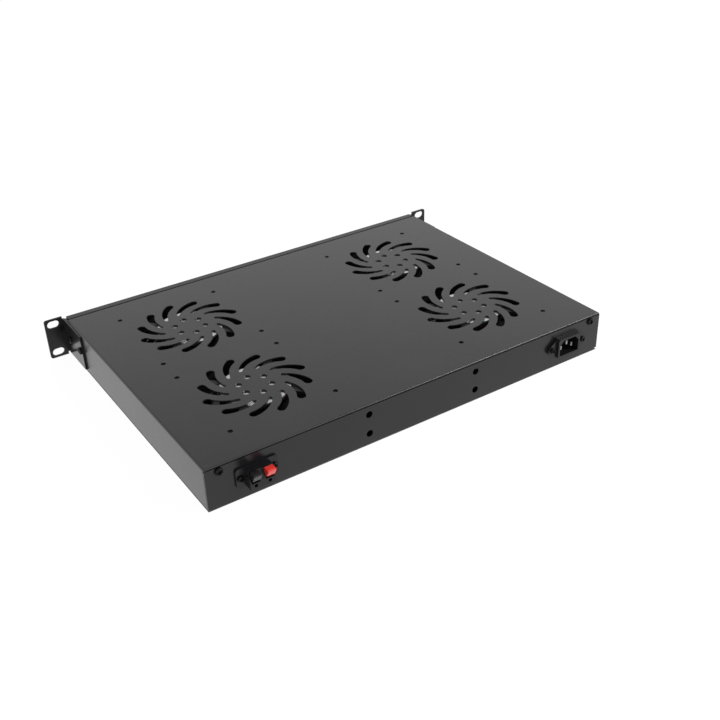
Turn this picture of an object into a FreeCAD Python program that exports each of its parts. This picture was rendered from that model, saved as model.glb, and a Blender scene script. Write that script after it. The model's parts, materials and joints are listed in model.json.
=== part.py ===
import FreeCAD, Part
import math
import os

# Rack fan tray, one rack unit high, four 120 mm axial fans blowing up through swirl vents.
# Millimetres. +X to the right seen from the front, +Y to the rear, +Z up.
# Origin: centre of the four rack slots, on the rear faces of the ears.

# ---- rack standard --------------------------------------------------------------------------
EAR_SPAN = 482.6          # overall width over both ears
SLOT_FROM_EDGE = 8.75     # centre of a slot from the outer edge of its ear
SLOT_SPACING_Z = 31.75    # between the two slots of one ear
SLOT_LENGTH = 12.2        # slot along X
SLOT_HEIGHT = 8.0         # slot across, along Z
EAR_WIDTH = 21.7          # how far each ear reaches out from the side of the case
EAR_RISE = 1.2            # how far the ears stand above and below the case
EAR_SHEET = 2.0           # ears are folded from thicker sheet than the case
EAR_CORNER_R = 2.5

# ---- case -----------------------------------------------------------------------------------
CASE_HEIGHT = 41.2
SHEET = 1.2
BEND_OUTER_R = 1.8        # outside radius of every fold of the case
SEAM = 1.0                # gap between two sheets that meet without being joined
FIT_GAP = 0.2             # play between a piece and the cut-out it drops into
REAR_EDGE_R = 0.9         # rounded rear edge of the cover
FRONT_LIP = 8.6           # folded strip along the top of the front panel
LIP_GAP = 1.7             # open joint between that strip and the cover
LIP_END_RELIEF = 1.8      # how far the strip stops short of each side
COVER_FOOT = 12.0         # inward foot along the bottom of each side wall
REAR_TAB_WIDTH = 15.0     # tabs of the cover behind the rear panel
REAR_TAB_HEIGHT = 14.0

# ---- brackets -------------------------------------------------------------------------------
BRACKET_SCREW_RISE = 1.5      # screws above mid height
BRACKET_BOTTOM = 1.8          # lower edge above the bottom of the case
BRACKET_TOP = 1.8             # upper edge below its top
BRACKET_SCREW_FRONT = 16.8    # first screw, from the front of the bracket
BRACKET_SCREW_PITCH = 28.0
BRACKET_SCREW_END = 4.0       # last screw to the rear end of the bracket
BEND_NOTCH = 2.8              # relief beside the fold, top and bottom

# ---- vents ----------------------------------------------------------------------------------
FAN_X = 124.0             # fan centres either side of the middle
FAN_FRONT_Y = 94.3
FAN_PITCH_Y = 135.0
REAR_BAY = 28.7           # rear fans to the outside of the rear panel
VENT_SLOTS = 12
SLOT_INNER_R = 28.0       # centre of a slot's narrow end
SLOT_OUTER_R = 48.0       # centre of its wide end
SLOT_SWEEP = 30.0         # degrees that the wide end trails the narrow one
SLOT_BULGE = 3.2          # how far the slot's centre line bows out
SLOT_END_INNER = 1.9      # half widths: narrow end, middle, wide end
SLOT_HALF_MIDDLE = 3.15
SLOT_END_OUTER = 4.1
HUB_HOLES = 6
HUB_HOLE_PCD = 30.0
HUB_HOLE_D = 6.7

# ---- fans -----------------------------------------------------------------------------------
FAN_SIZE = 119.6
FAN_DEPTH = 25.4
FAN_HOLE_INSET = 7.3      # mounting holes from the edges
FAN_HOLE_D = 4.8
FAN_CORNER_R = 5.0
FAN_EDGE = 2.3            # thinnest wall between bore and edge
MOTOR_D = 68.0            # motor plate
MOTOR_PLATE_DROP = 0.6    # below the fan's top face
MOTOR_PLATE = 2.5
LABEL_MARGIN = 1.5        # bare rim of the motor plate around the label
LABEL_THICK = 0.3
STRUTS = 4
STRUT_WIDTH = 6.0
STRUT_DEPTH = 4.0
STRUT_SEAT = 1.0          # how deep the arms are let into the frame
TUBE_D = 15.0             # bearing tube under the motor plate
BEARING_D = 9.2
BEARING_LENGTH = 4.0
SHAFT_D = 4.0
RUN_CLEARANCE = 0.05      # radial, shaft in bearing
HUB_STEP = 0.5            # rotor cup smaller than the motor plate, in radius
HUB_WALL = 1.8
HUB_TOP = 6.4             # rim of the rotor cup, below the fan's top face
HUB_RECESS = 2.8          # closed end of the cup, above the fan's lower face
HUB_FLOOR = 2.0
HUB_BOSS_D = 12.0
AIR_GAP = 0.6             # stator to rotor cup
STATOR_TOP = 6.6
STATOR_HEIGHT = 9.6
STATOR_POLES = 8
BLADES = 7
BLADE_THICK = 1.8
BLADE_HEIGHT = 13.0
BLADE_ROOT_PITCH = 40.0
BLADE_TIP_PITCH = 27.0
BLADE_TIP_GAP = 0.9
GUARD_WIRE_D = 1.6
GUARD_RINGS = 6
GUARD_RING_STEP = 9.2
GUARD_EYE_D = 6.4

# ---- screws ---------------------------------------------------------------------------------
M4_D = 4.0
M4_HEAD_D = 7.4
M4_HEAD = 2.4
M3_D = 3.0
M3_HEAD_D = 6.0
M3_HEAD = 2.2
M3_NUT_AF = 5.5
M3_NUT = 2.2
PANEL_SCREW_LENGTH = 9.0
FOOT_HEAD_D = 7.0         # low heads under the bottom plate
FOOT_SCREWS = 3
REAR_SCREW_IN = 12.9      # rear corner screws from the side of the case
REAR_SCREW_DROP = 6.2     # and from its top
SCREW_PLAY = 0.2          # radial play of a screw in a plain hole
RECESS = 1.3              # depth of the cross recess
FOOT_RECESS = 0.6         # shallower in the low heads

# ---- rear panel -----------------------------------------------------------------------------
REAR_HOLE_D = 6.8
REAR_HOLE_SPACING_X = 120.0
REAR_HOLE_SPACING_Z = 20.0

INLET_IN = 44.8           # centre of the inlet from the side of the case
INLET_FLANGE = 3.0
INLET_SCREW_PITCH = 40.0
INLET_EAR_R = 5.0
INLET_FLANGE_SIDE = 1.8   # flange beyond the mouth, left and right
INLET_FLANGE_TOP = 3.1    # and above and below
INLET_COLLAR = 2.6
INLET_COLLAR_WALL = 2.1
INLET_MOUTH_WIDTH = 24.4
INLET_MOUTH_HEIGHT = 16.4
INLET_MOUTH_CHAMFER = 4.6
INLET_MOUTH_DEPTH = 15.5
INLET_BODY_WALL = 1.3
INLET_BODY_DEPTH = 15.0
PIN_WIDTH = 2.0
PIN_HEIGHT = 4.0
PIN_SPACING = 14.0
PIN_ROW_STEP = 4.0
PIN_SETBACK = 4.2         # pin tips behind the mouth
EARTH_LEAD = 0.2          # middle pin, ahead of the others
TAB_LENGTH = 8.0
TAB_WIDTH = 6.3
TAB_THICK = 0.8

TERMINAL_IN = 46.2        # centre of the terminal from the side of the case
TERMINAL_PLATE = 2.0
TERMINAL_EDGE = 3.8       # screws to the ends of the plate
TERMINAL_HEIGHT = 19.6
TERMINAL_CORNER_R = 3.0
TERMINAL_SCREW_OUT = 4.2  # screws beyond the sides of the block
BLOCK_WALL = 1.15         # beside each lever well
BLOCK_BOTTOM = -8.2
BLOCK_TOP = 7.2
BLOCK_REACH = 11.2
BLOCK_TOP_REACH = 7.4
BLOCK_SLOPE_Z = -1.2
BLOCK_ROOF = 0.8          # over the rear of each lever well
WELL_DEPTH = 1.6          # floor of the wells below the sloping face
BLOCK_INNER_DEPTH = 12.0
BLOCK_INNER_HEIGHT = 14.0
LEVER_PITCH = 13.2
LEVER_WIDTH = 7.4
LEVER_PLAY = 0.35
LEVER_PIVOT_Y = 5.0
LEVER_PIVOT_Z = 3.4
LEVER_PIN_D = 2.0
WIRE_PORT_D = 3.4
WIRE_PORT_Z = -5.4
WIRE_PORT_DEPTH = 9.0

# ---- front panel ----------------------------------------------------------------------------
SWITCH_IN = 31.6          # centre of the switch from the side of the case
SWITCH_RIM = 1.0          # bezel beyond the body, all round
SWITCH_BEZEL = 2.0
SWITCH_BODY_WIDTH = 19.0
SWITCH_BODY_HEIGHT = 12.8
SWITCH_BODY_DEPTH = 16.0
SWITCH_WALL = 1.3
SWITCH_END_WALL = 1.2     # beyond the ends of the rocker's well
ROCKER_END_PLAY = 0.5
ROCKER_PLAY = 0.3
ROCKER_TILT = 8.0

THERMO_X = 0.0
THERMO_RIM = 3.0          # bezel beyond the body, all round
THERMO_BEZEL = 3.0
THERMO_BODY_WIDTH = 70.6
THERMO_BODY_HEIGHT = 28.6
THERMO_BODY_DEPTH = 52.0
THERMO_WALL = 1.6
THERMO_STRIP = 8.0        # terminal strip behind the lid
THERMO_STRIP_IN = 4.0     # ends of that strip from the sides of the lid
THERMO_LID = 2.0
THERMO_WAYS = 7
CLIP_LENGTH = 24.0
CLIP_HEIGHT = 14.0
CLIP_THICK = 2.2
CLIP_SPRING = 1.2         # thickness of the sprung middle
WINDOW_IN = 2.3           # window from the left side of the body
WINDOW_TO_BUTTON = 5.6    # window to the centre of the first button
WINDOW_HEIGHT = 18.0
WINDOW_THICK = 1.2
DIGITS = 3
DIGIT_HEIGHT = 13.0
DIGIT_PITCH = 10.0
BUTTON_D = 6.0
BUTTON_IN = 4.1           # last button from the inside of the right wall
BUTTON_PITCH = 8.5
BUTTONS = 3
BUTTON_PLAY = 0.2
BUTTON_PROUD = 1.2
BUTTON_TRAVEL = 0.8
BUTTON_FLANGE_D = 7.6
BUTTON_FLANGE = 0.8
BOARD_THICK = 1.6
BOARD_BEHIND = 7.0        # face of the circuit board behind the panel's outside

# ---- wiring ---------------------------------------------------------------------------------
LEAD_D = 2.4
LEAD_STEP = 3.0           # between leads that run side by side
LEAD_BEND = 6.0           # how much of a corner the largest bend takes up
LEAD_LIFT = 1.4           # fan leads above the ones on the floor, in lead diameters
AISLE_CLEAR = 8.2         # long leads beside the fans
DROP_CLEAR = 3.4          # fan leads where they drop down beside their fan
STRIP_WAYS = 10
STRIP_PITCH = 8.0
STRIP_Y = 165.0           # front face of the connector strip
STRIP_DEPTH = 17.0
STRIP_HEIGHT = 11.0

# ---- worked out -----------------------------------------------------------------------------
HALF_W = EAR_SPAN / 2 - EAR_WIDTH
EAR_HEIGHT = CASE_HEIGHT + 2 * EAR_RISE
TOP = CASE_HEIGHT / 2
BOTTOM = -TOP
FRONT = -EAR_SHEET                      # front panel is flush with the fronts of the ears
REAR = FAN_FRONT_Y + FAN_PITCH_Y + FAN_SIZE / 2 + REAR_BAY
FLOOR = BOTTOM + SHEET                  # upper face of the bottom plate
CEILING = TOP - SHEET                   # under face of the cover
COVER_FRONT = FRONT + FRONT_LIP + LIP_GAP
WALL_START = FRONT + BEND_OUTER_R       # cover walls stand clear of the folds of the pan
WALL_END = REAR - BEND_OUTER_R
REAR_INNER = REAR - SHEET               # inner face of the rear panel
FAN_YS = (FAN_FRONT_Y, FAN_FRONT_Y + FAN_PITCH_Y)
FANS = {
    "front_left": (-FAN_X, FAN_YS[0]),
    "front_right": (FAN_X, FAN_YS[0]),
    "rear_left": (-FAN_X, FAN_YS[1]),
    "rear_right": (FAN_X, FAN_YS[1]),
}
EAR_SLOT_X = EAR_SPAN / 2 - SLOT_FROM_EDGE
BRACKET_LOW = BOTTOM + BRACKET_BOTTOM
BRACKET_LENGTH = BRACKET_SCREW_FRONT + BRACKET_SCREW_PITCH + BRACKET_SCREW_END
BRACKET_SCREW_YS = (FRONT + BRACKET_SCREW_FRONT,
                    FRONT + BRACKET_SCREW_FRONT + BRACKET_SCREW_PITCH)
FOOT_SCREW_X = HALF_W - COVER_FOOT / 2 - SHEET / 2
FOOT_SCREW_YS = [REAR * (i + 0.5) / FOOT_SCREWS for i in range(FOOT_SCREWS)]
REAR_SCREW_X = HALF_W - REAR_SCREW_IN
REAR_SCREW_Z = TOP - REAR_SCREW_DROP
FAN_HOLE_PITCH = FAN_SIZE - 2 * FAN_HOLE_INSET
FAN_BORE_D = FAN_SIZE - 2 * FAN_EDGE
HUB_D = MOTOR_D - 2 * HUB_STEP
HUB_BOTTOM = FAN_DEPTH - HUB_RECESS
STATOR_BOTTOM = STATOR_TOP + STATOR_HEIGHT
GUARD_Z = -FAN_DEPTH - GUARD_WIRE_D / 2
M4_PLAIN_R = M4_D / 2 + SCREW_PLAY
M3_PLAIN_R = M3_D / 2 + SCREW_PLAY
INLET_X = INLET_IN - HALF_W
TERMINAL_X = HALF_W - TERMINAL_IN
BLOCK_WIDTH = LEVER_PITCH + LEVER_WIDTH + 2 * (LEVER_PLAY + BLOCK_WALL)
TERMINAL_SCREW_PITCH = BLOCK_WIDTH + 2 * TERMINAL_SCREW_OUT
TERMINAL_WIDTH = TERMINAL_SCREW_PITCH + 2 * TERMINAL_EDGE
INLET_BODY_WIDTH = INLET_MOUTH_WIDTH + 2 * INLET_BODY_WALL
INLET_BODY_HEIGHT = INLET_MOUTH_HEIGHT + 2 * INLET_BODY_WALL
SWITCH_X = SWITCH_IN - HALF_W
ROCKER_LENGTH = SWITCH_BODY_WIDTH - 2 * (SWITCH_END_WALL + ROCKER_END_PLAY)
BUTTON_LAST_X = THERMO_BODY_WIDTH / 2 - THERMO_WALL - BUTTON_IN
BUTTON_XS = [BUTTON_LAST_X - BUTTON_PITCH * (BUTTONS - 1 - i) for i in range(BUTTONS)]
WINDOW_LEFT = WINDOW_IN - THERMO_BODY_WIDTH / 2
WINDOW_RIGHT = BUTTON_XS[0] - WINDOW_TO_BUTTON
LEAD_LOW = FLOOR + LEAD_D / 2           # centre of a lead that lies on the bottom plate
FAN_INNER_X = FAN_X - FAN_SIZE / 2      # inner sides of the fans, along the middle aisle
AISLE_X = FAN_INNER_X - AISLE_CLEAR
THERMO_BACK = FRONT + THERMO_BODY_DEPTH + THERMO_STRIP

X = FreeCAD.Vector(1, 0, 0)
Y = FreeCAD.Vector(0, 1, 0)
Z = FreeCAD.Vector(0, 0, 1)
ORIGIN = FreeCAD.Vector(0, 0, 0)


# ---- plain shapes ---------------------------------------------------------------------------
def vec(x, y, z):
    return FreeCAD.Vector(x, y, z)


def box(x0, x1, y0, y1, z0, z1):
    return Part.makeBox(x1 - x0, y1 - y0, z1 - z0, vec(x0, y0, z0))


def rod(radius, start, direction, length):
    return Part.makeCylinder(radius, length, start, direction)


def tube(outer, inner, start, direction, length):
    return rod(outer, start, direction, length).cut(rod(inner, start, direction, length))


def prism(points, direction):
    """Solid between a flat outline of corner points and its copy moved along direction."""
    wire = Part.makePolygon(list(points) + [points[0]])
    return Part.Face(wire).extrude(direction)


def round_edges(shape, radius, keep):
    """Round the straight edges whose middle point satisfies keep."""
    edges = [edge for edge in shape.Edges if keep(edge.CenterOfMass)]
    return shape.makeFillet(radius, edges)


def round_upright(shape, radius, axis):
    """Round every straight edge that runs along the given axis."""
    edges = []
    for edge in shape.Edges:
        ends = [vertex.Point for vertex in edge.Vertexes]
        if len(ends) == 2 and (ends[1] - ends[0]).cross(axis).Length < 1e-6:
            edges.append(edge)
    return shape.makeFillet(radius, edges)


def plate(width, height, y0, y1, corner_r):
    """Rounded rectangle in the XZ plane, centred on the Y axis."""
    blank = box(-width / 2, width / 2, y0, y1, -height / 2, height / 2)
    return round_upright(blank, corner_r, Y)


def moved(shape, offset):
    copy = shape.copy()
    copy.translate(offset)
    return copy


def turned(shape, angle, axis=Z, centre=ORIGIN):
    copy = shape.copy()
    copy.rotate(centre, axis, angle)
    return copy


def mirrored(shape):
    return shape.mirror(ORIGIN, X)


def cross_recess(radius, z_face, depth):
    """Cross-shaped driver recess sunk from z_face in a screw that stands along Z."""
    arm = radius * 0.62
    width = radius * 0.2
    first = box(-arm, arm, -width, width, z_face - depth, z_face)
    return first.fuse(turned(first, 90))


def pan_screw(shank_r, length, head_r, head_height, recess=RECESS):
    """Pan-head screw with its head above z = 0 and its shank below."""
    head = rod(head_r, ORIGIN, Z, head_height)
    top_edges = [edge for edge in head.Edges if abs(edge.CenterOfMass.z - head_height) < 1e-6]
    head = head.makeFillet(head_height * 0.55, top_edges)
    shank = rod(shank_r, vec(0, 0, -length), Z, length)
    return head.fuse(shank).cut(cross_recess(head_r, head_height, recess)).removeSplitter()


def lead(points, radius):
    """Round lead through corner points: straight runs joined by tangent arcs."""
    edges = []
    start = points[0]
    for before, corner, after in zip(points, points[1:], points[2:]):
        to_before = before - corner
        to_after = after - corner
        shorter = min(to_before.Length, to_after.Length)
        turn = math.pi - to_before.getAngle(to_after)
        cut = min(LEAD_BEND, 0.45 * shorter)
        arc_start = corner + to_before.normalize() * cut
        arc_end = corner + to_after.normalize() * cut
        bend_r = cut / math.tan(turn / 2)
        inward = (to_before + to_after).normalize()
        centre = corner + inward * math.hypot(cut, bend_r)
        middle = centre - inward * bend_r
        edges.append(Part.LineSegment(start, arc_start).toShape())
        edges.append(Part.Arc(arc_start, middle, arc_end).toShape())
        start = arc_end
    edges.append(Part.LineSegment(start, points[-1]).toShape())
    path = Part.Wire(edges)
    heading = (points[1] - points[0]).normalize()
    profile = Part.Wire([Part.Circle(points[0], heading, radius).toShape()])
    return path.makePipeShell([profile], True, False)


nodes = {}


def keep(name, *shapes):
    """File the solids of one named piece."""
    solids = [solid for shape in shapes for solid in shape.Solids]
    nodes[name] = Part.makeCompound(solids) if len(solids) > 1 else solids[0]


# ---- swirl vents ----------------------------------------------------------------------------
def on_circle(radius, degrees):
    angle = math.radians(degrees)
    return vec(radius * math.cos(angle), radius * math.sin(angle), 0)


def vent_slot(height):
    """One curved slot that widens outwards, as a solid for cutting, around the fan's centre."""
    inner = on_circle(SLOT_INNER_R, SLOT_SWEEP)
    outer = on_circle(SLOT_OUTER_R, 0)
    chord = outer - inner
    bow = Z.cross(chord).normalize() * SLOT_BULGE
    middle = inner + chord * 0.5 + bow
    sagitta = SLOT_BULGE
    bend_r = (chord.Length ** 2 / 4 + sagitta ** 2) / (2 * sagitta)
    centre = middle - bow * (bend_r / sagitta)
    stations = ((inner, SLOT_END_INNER), (middle, SLOT_HALF_MIDDLE), (outer, SLOT_END_OUTER))
    out_side = [point + (point - centre).normalize() * half for point, half in stations]
    in_side = [point - (point - centre).normalize() * half for point, half in stations]
    along_inner = Z.cross((inner - centre).normalize()) * SLOT_END_INNER
    along_outer = Z.cross((outer - centre).normalize()) * SLOT_END_OUTER
    edges = [
        Part.Arc(*out_side),
        Part.Arc(out_side[2], outer - along_outer, in_side[2]),
        Part.Arc(*reversed(in_side)),
        Part.Arc(in_side[0], inner + along_inner, out_side[0]),
    ]
    face = Part.Face(Part.Wire([edge.toShape() for edge in edges]))
    return face.extrude(Z * height)


def vent_tools():
    """Everything that is punched through the cover over one fan, standing on z = 0."""
    height = SHEET * 4
    slot = vent_slot(height)
    step = 360 / VENT_SLOTS
    tools = [turned(slot, step * i) for i in range(VENT_SLOTS)]
    for i in range(HUB_HOLES):
        place = on_circle(HUB_HOLE_PCD / 2, 90 + 360 / HUB_HOLES * i)
        tools.append(rod(HUB_HOLE_D / 2, place, Z, height))
    for place in fan_corners():
        tools.append(rod(FAN_HOLE_D / 2, place, Z, height))
    return tools


def fan_corners():
    half = FAN_HOLE_PITCH / 2
    return [vec(sx * half, sy * half, 0) for sx in (-1, 1) for sy in (-1, 1)]


# ---- case -----------------------------------------------------------------------------------
def top_cover():
    """Top plate and both side walls in one sheet, with inward feet and two rear tabs."""
    outer = box(-HALF_W, HALF_W, WALL_START, REAR, FLOOR, TOP)
    outer = round_edges(outer, BEND_OUTER_R,
                        lambda p: abs(p.z - TOP) < 1e-6 and abs(abs(p.x) - HALF_W) < 1e-6)
    outer = round_edges(outer, REAR_EDGE_R, lambda p: p.y > REAR - 1e-6 and p.z > TOP - BEND_OUTER_R)
    inner_x = HALF_W - SHEET
    inner = box(-inner_x, inner_x, WALL_START - 1, REAR + 1, FLOOR - 1, CEILING)
    inner = round_edges(inner, BEND_OUTER_R - SHEET,
                        lambda p: abs(p.z - CEILING) < 1e-6 and abs(abs(p.x) - inner_x) < 1e-6)
    cover = outer.cut(inner)

    for side in (-1, 1):
        xs = sorted((side * (HALF_W - COVER_FOOT), side * (inner_x + FIT_GAP)))
        foot = box(xs[0], xs[1], WALL_START + SHEET, WALL_END - 2 * SHEET, FLOOR, FLOOR + SHEET)
        xs = sorted((side * (inner_x - REAR_TAB_WIDTH), side * (inner_x + FIT_GAP)))
        tab_z = REAR_SCREW_Z - REAR_TAB_HEIGHT / 2
        tab = box(xs[0], xs[1], WALL_END - SHEET, WALL_END, tab_z, CEILING - SHEET)
        cover = cover.fuse([foot, tab])

    cuts = [
        box(-HALF_W - 1, HALF_W + 1, WALL_END, REAR + 1, FLOOR - 1, CEILING - SEAM / 2),
        box(-HALF_W - 1, HALF_W + 1, WALL_START - 1, COVER_FRONT, TOP - BEND_OUTER_R, TOP + 1),
    ]
    for fan_x, fan_y in FANS.values():
        cuts += [moved(tool, vec(fan_x, fan_y, TOP - SHEET * 2)) for tool in vent_tools()]
    for side in (-1, 1):
        cuts.append(rod(M3_D / 2, vec(side * REAR_SCREW_X, WALL_END - 2 * SHEET, REAR_SCREW_Z), Y, 3 * SHEET))
        for screw_y in FOOT_SCREW_YS:
            cuts.append(rod(M3_D / 2, vec(side * FOOT_SCREW_X, screw_y, FLOOR - SHEET), Z, 3 * SHEET))
        for screw_y in BRACKET_SCREW_YS:
            start = vec(side * (HALF_W + 1), screw_y, BRACKET_SCREW_RISE)
            cuts.append(rod(M4_D / 2, start, X * -side, SHEET + 2))
    return cover.cut(cuts).removeSplitter()


def chassis_pan():
    """Front panel with its top strip, bottom plate and rear panel, folded from one sheet."""
    outer = box(-HALF_W, HALF_W, FRONT, REAR, BOTTOM, TOP)
    outer = round_edges(outer, BEND_OUTER_R,
                        lambda p: abs(p.x) < 1 and not (p.z > 0 and p.y > 0))
    inner = box(-HALF_W - 1, HALF_W + 1, FRONT + SHEET, REAR_INNER, FLOOR, CEILING)
    inner = round_edges(inner, BEND_OUTER_R - SHEET, lambda p: abs(p.x) < 1)
    pan = outer.cut(inner)

    relief_x = HALF_W - LIP_END_RELIEF
    lip_end = FRONT + FRONT_LIP
    cuts = [box(-HALF_W - 1, HALF_W + 1, lip_end, REAR + 1, CEILING - SEAM, TOP + 1)]
    for side in (-1, 1):
        xs = sorted((side * relief_x, side * (HALF_W + 1)))
        cuts.append(box(xs[0], xs[1], FRONT - 1, lip_end + 1, TOP - 2 * BEND_OUTER_R, TOP + 1))
        cuts.append(rod(M3_PLAIN_R, vec(side * REAR_SCREW_X, REAR_INNER - 1, REAR_SCREW_Z), Y, SHEET + 2))
        for screw_y in FOOT_SCREW_YS:
            cuts.append(rod(M3_PLAIN_R, vec(side * FOOT_SCREW_X, screw_y, BOTTOM - 1), Z, SHEET + 2))
        for row in (-1, 1):
            hole = vec(side * REAR_HOLE_SPACING_X / 2, REAR_INNER - 1, row * REAR_HOLE_SPACING_Z / 2)
            cuts.append(rod(REAR_HOLE_D / 2, hole, Y, SHEET + 2))
    for fan_x, fan_y in FANS.values():
        cuts.append(rod(FAN_BORE_D / 2, vec(fan_x, fan_y, BOTTOM - 1), Z, SHEET + 2))

    cuts.append(panel_cut(INLET_X, INLET_BODY_WIDTH, INLET_BODY_HEIGHT, REAR_INNER))
    cuts.append(panel_cut(TERMINAL_X, BLOCK_WIDTH, BLOCK_INNER_HEIGHT, REAR_INNER))
    cuts.append(panel_cut(SWITCH_X, SWITCH_BODY_WIDTH, SWITCH_BODY_HEIGHT, FRONT))
    cuts.append(panel_cut(THERMO_X, THERMO_BODY_WIDTH, THERMO_BODY_HEIGHT, FRONT))
    for centre_x, pitch in ((INLET_X, INLET_SCREW_PITCH), (TERMINAL_X, TERMINAL_SCREW_PITCH)):
        for side in (-1, 1):
            cuts.append(rod(M3_PLAIN_R, vec(centre_x + side * pitch / 2, REAR_INNER - 1, 0), Y, SHEET + 2))
    return pan.cut(cuts).removeSplitter()


def panel_cut(centre_x, width, height, y0):
    """Cut-out through a panel that starts at y0, for a body of the given width and height."""
    half_w = width / 2 + FIT_GAP
    half_h = height / 2 + FIT_GAP
    return box(centre_x - half_w, centre_x + half_w, y0 - 1, y0 + SHEET + 1, -half_h, half_h)


def ear_bracket():
    """Right-hand bracket: flange along the side wall and the slotted ear."""
    ear_x = EAR_SPAN / 2
    fold_x = HALF_W + EAR_SHEET + BEND_NOTCH / 3
    flange = box(HALF_W, HALF_W + EAR_SHEET, FRONT, FRONT + BRACKET_LENGTH, BRACKET_LOW, TOP - BRACKET_TOP)
    fold = box(HALF_W, fold_x, FRONT, 0, BRACKET_LOW, TOP - BRACKET_BOTTOM)
    ear = box(fold_x, ear_x, FRONT, 0, -EAR_HEIGHT / 2, EAR_HEIGHT / 2)
    ear = round_edges(ear, EAR_CORNER_R, lambda p: p.x > ear_x - 1e-6 and abs(p.z) > EAR_HEIGHT / 2 - 1e-6)
    bracket = flange.fuse([fold, ear]).removeSplitter()
    bracket = round_edges(bracket, EAR_SHEET * 0.9,
                          lambda p: abs(p.x - HALF_W) < 1e-6 and abs(p.y - FRONT) < 1e-6)
    cuts = []
    for row in (-1, 1):
        slot = plate(SLOT_LENGTH, SLOT_HEIGHT, FRONT - 1, 1, SLOT_HEIGHT / 2 - 0.001)
        cuts.append(moved(slot, vec(EAR_SLOT_X, 0, row * SLOT_SPACING_Z / 2)))
    for screw_y in BRACKET_SCREW_YS:
        cuts.append(rod(M4_PLAIN_R, vec(HALF_W - 1, screw_y, BRACKET_SCREW_RISE), X, EAR_SHEET + 2))
    return bracket.cut(cuts)


def case_screws():
    """Screws of the brackets, the rear corners and the bottom plate, each group in one node."""
    bracket_screw = pan_screw(M4_D / 2, EAR_SHEET + SHEET + M4_HEAD, M4_HEAD_D / 2, M4_HEAD)
    bracket_screw = turned(bracket_screw, 90, Y)
    right = [moved(bracket_screw, vec(HALF_W + EAR_SHEET, screw_y, BRACKET_SCREW_RISE))
             for screw_y in BRACKET_SCREW_YS]
    keep("bracket_screws", *right, *[mirrored(screw) for screw in right])

    corner_screw = turned(pan_screw(M3_D / 2, SHEET * 4, M4_HEAD_D / 2, M3_HEAD), -90, X)
    keep("rear_corner_screws", *[moved(corner_screw, vec(side * REAR_SCREW_X, REAR, REAR_SCREW_Z))
                                 for side in (-1, 1)])

    foot_screw = turned(pan_screw(M3_D / 2, SHEET * 4, FOOT_HEAD_D / 2, EAR_RISE, FOOT_RECESS), 180, X)
    keep("bottom_screws", *[moved(foot_screw, vec(side * FOOT_SCREW_X, screw_y, BOTTOM))
                            for side in (-1, 1) for screw_y in FOOT_SCREW_YS])


# ---- one fan, around its own axis with its top face at z = 0 ----------------------------------
def fan_frame():
    """Square frame with closed corners, bored for the air and the screws."""
    half = FAN_SIZE / 2
    block = round_upright(box(-half, half, -half, half, -FAN_DEPTH, 0), FAN_CORNER_R, Z)
    bore = rod(FAN_BORE_D / 2, vec(0, 0, -FAN_DEPTH - 1), Z, FAN_DEPTH + 2)
    holes = [rod(FAN_HOLE_D / 2, place - Z * (FAN_DEPTH + 1), Z, FAN_DEPTH + 2) for place in fan_corners()]
    return block.cut([bore] + holes + fan_struts()).removeSplitter()


def fan_struts():
    """Arms from the motor plate into the corners of the frame."""
    reach = FAN_BORE_D / 2 + STRUT_SEAT
    strut = box(MOTOR_D / 2 - 2, reach, -STRUT_WIDTH / 2, STRUT_WIDTH / 2,
                -MOTOR_PLATE_DROP - STRUT_DEPTH, -MOTOR_PLATE_DROP)
    return [turned(strut, 45 + 360 / STRUTS * i) for i in range(STRUTS)]


def fan_spider():
    """Motor plate and bearing tube on their arms, let into the frame."""
    plate_low = -MOTOR_PLATE_DROP - MOTOR_PLATE
    motor = rod(MOTOR_D / 2, vec(0, 0, plate_low), Z, MOTOR_PLATE)
    tube_low = STATOR_BOTTOM + 1
    bearing_tube = rod(TUBE_D / 2, vec(0, 0, -tube_low), Z, tube_low + plate_low)
    seat = rod(BEARING_D / 2, vec(0, 0, -tube_low - 1), Z, tube_low + 1 + plate_low)
    return motor.fuse([bearing_tube] + fan_struts()).cut(seat).removeSplitter()


def fan_bearings():
    """Two sintered bushes, one in each end of the bearing tube."""
    tube_low = -STATOR_BOTTOM - 1
    tube_high = -MOTOR_PLATE_DROP - MOTOR_PLATE - 1
    bore = SHAFT_D / 2 + RUN_CLEARANCE
    return [tube(BEARING_D / 2, bore, vec(0, 0, low), Z, BEARING_LENGTH)
            for low in (tube_low, tube_high - BEARING_LENGTH)]


def fan_stator():
    """Laminated core with its coils, pressed on the bearing tube."""
    outer_r = HUB_D / 2 - HUB_WALL - AIR_GAP
    core = tube(outer_r, TUBE_D / 2, vec(0, 0, -STATOR_BOTTOM), Z, STATOR_HEIGHT)
    gap = box(TUBE_D / 2 + 4, outer_r + 1, -1.2, 1.2, -STATOR_BOTTOM - 1, -STATOR_TOP + 1)
    pocket = rod(2.6, vec(outer_r - 8, 0, -STATOR_BOTTOM - 1), Z, STATOR_HEIGHT + 2)
    step = 360 / STATOR_POLES
    cuts = [turned(tool, step * (i + 0.5)) for tool in (gap, pocket) for i in range(STATOR_POLES)]
    return core.cut(cuts)


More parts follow.
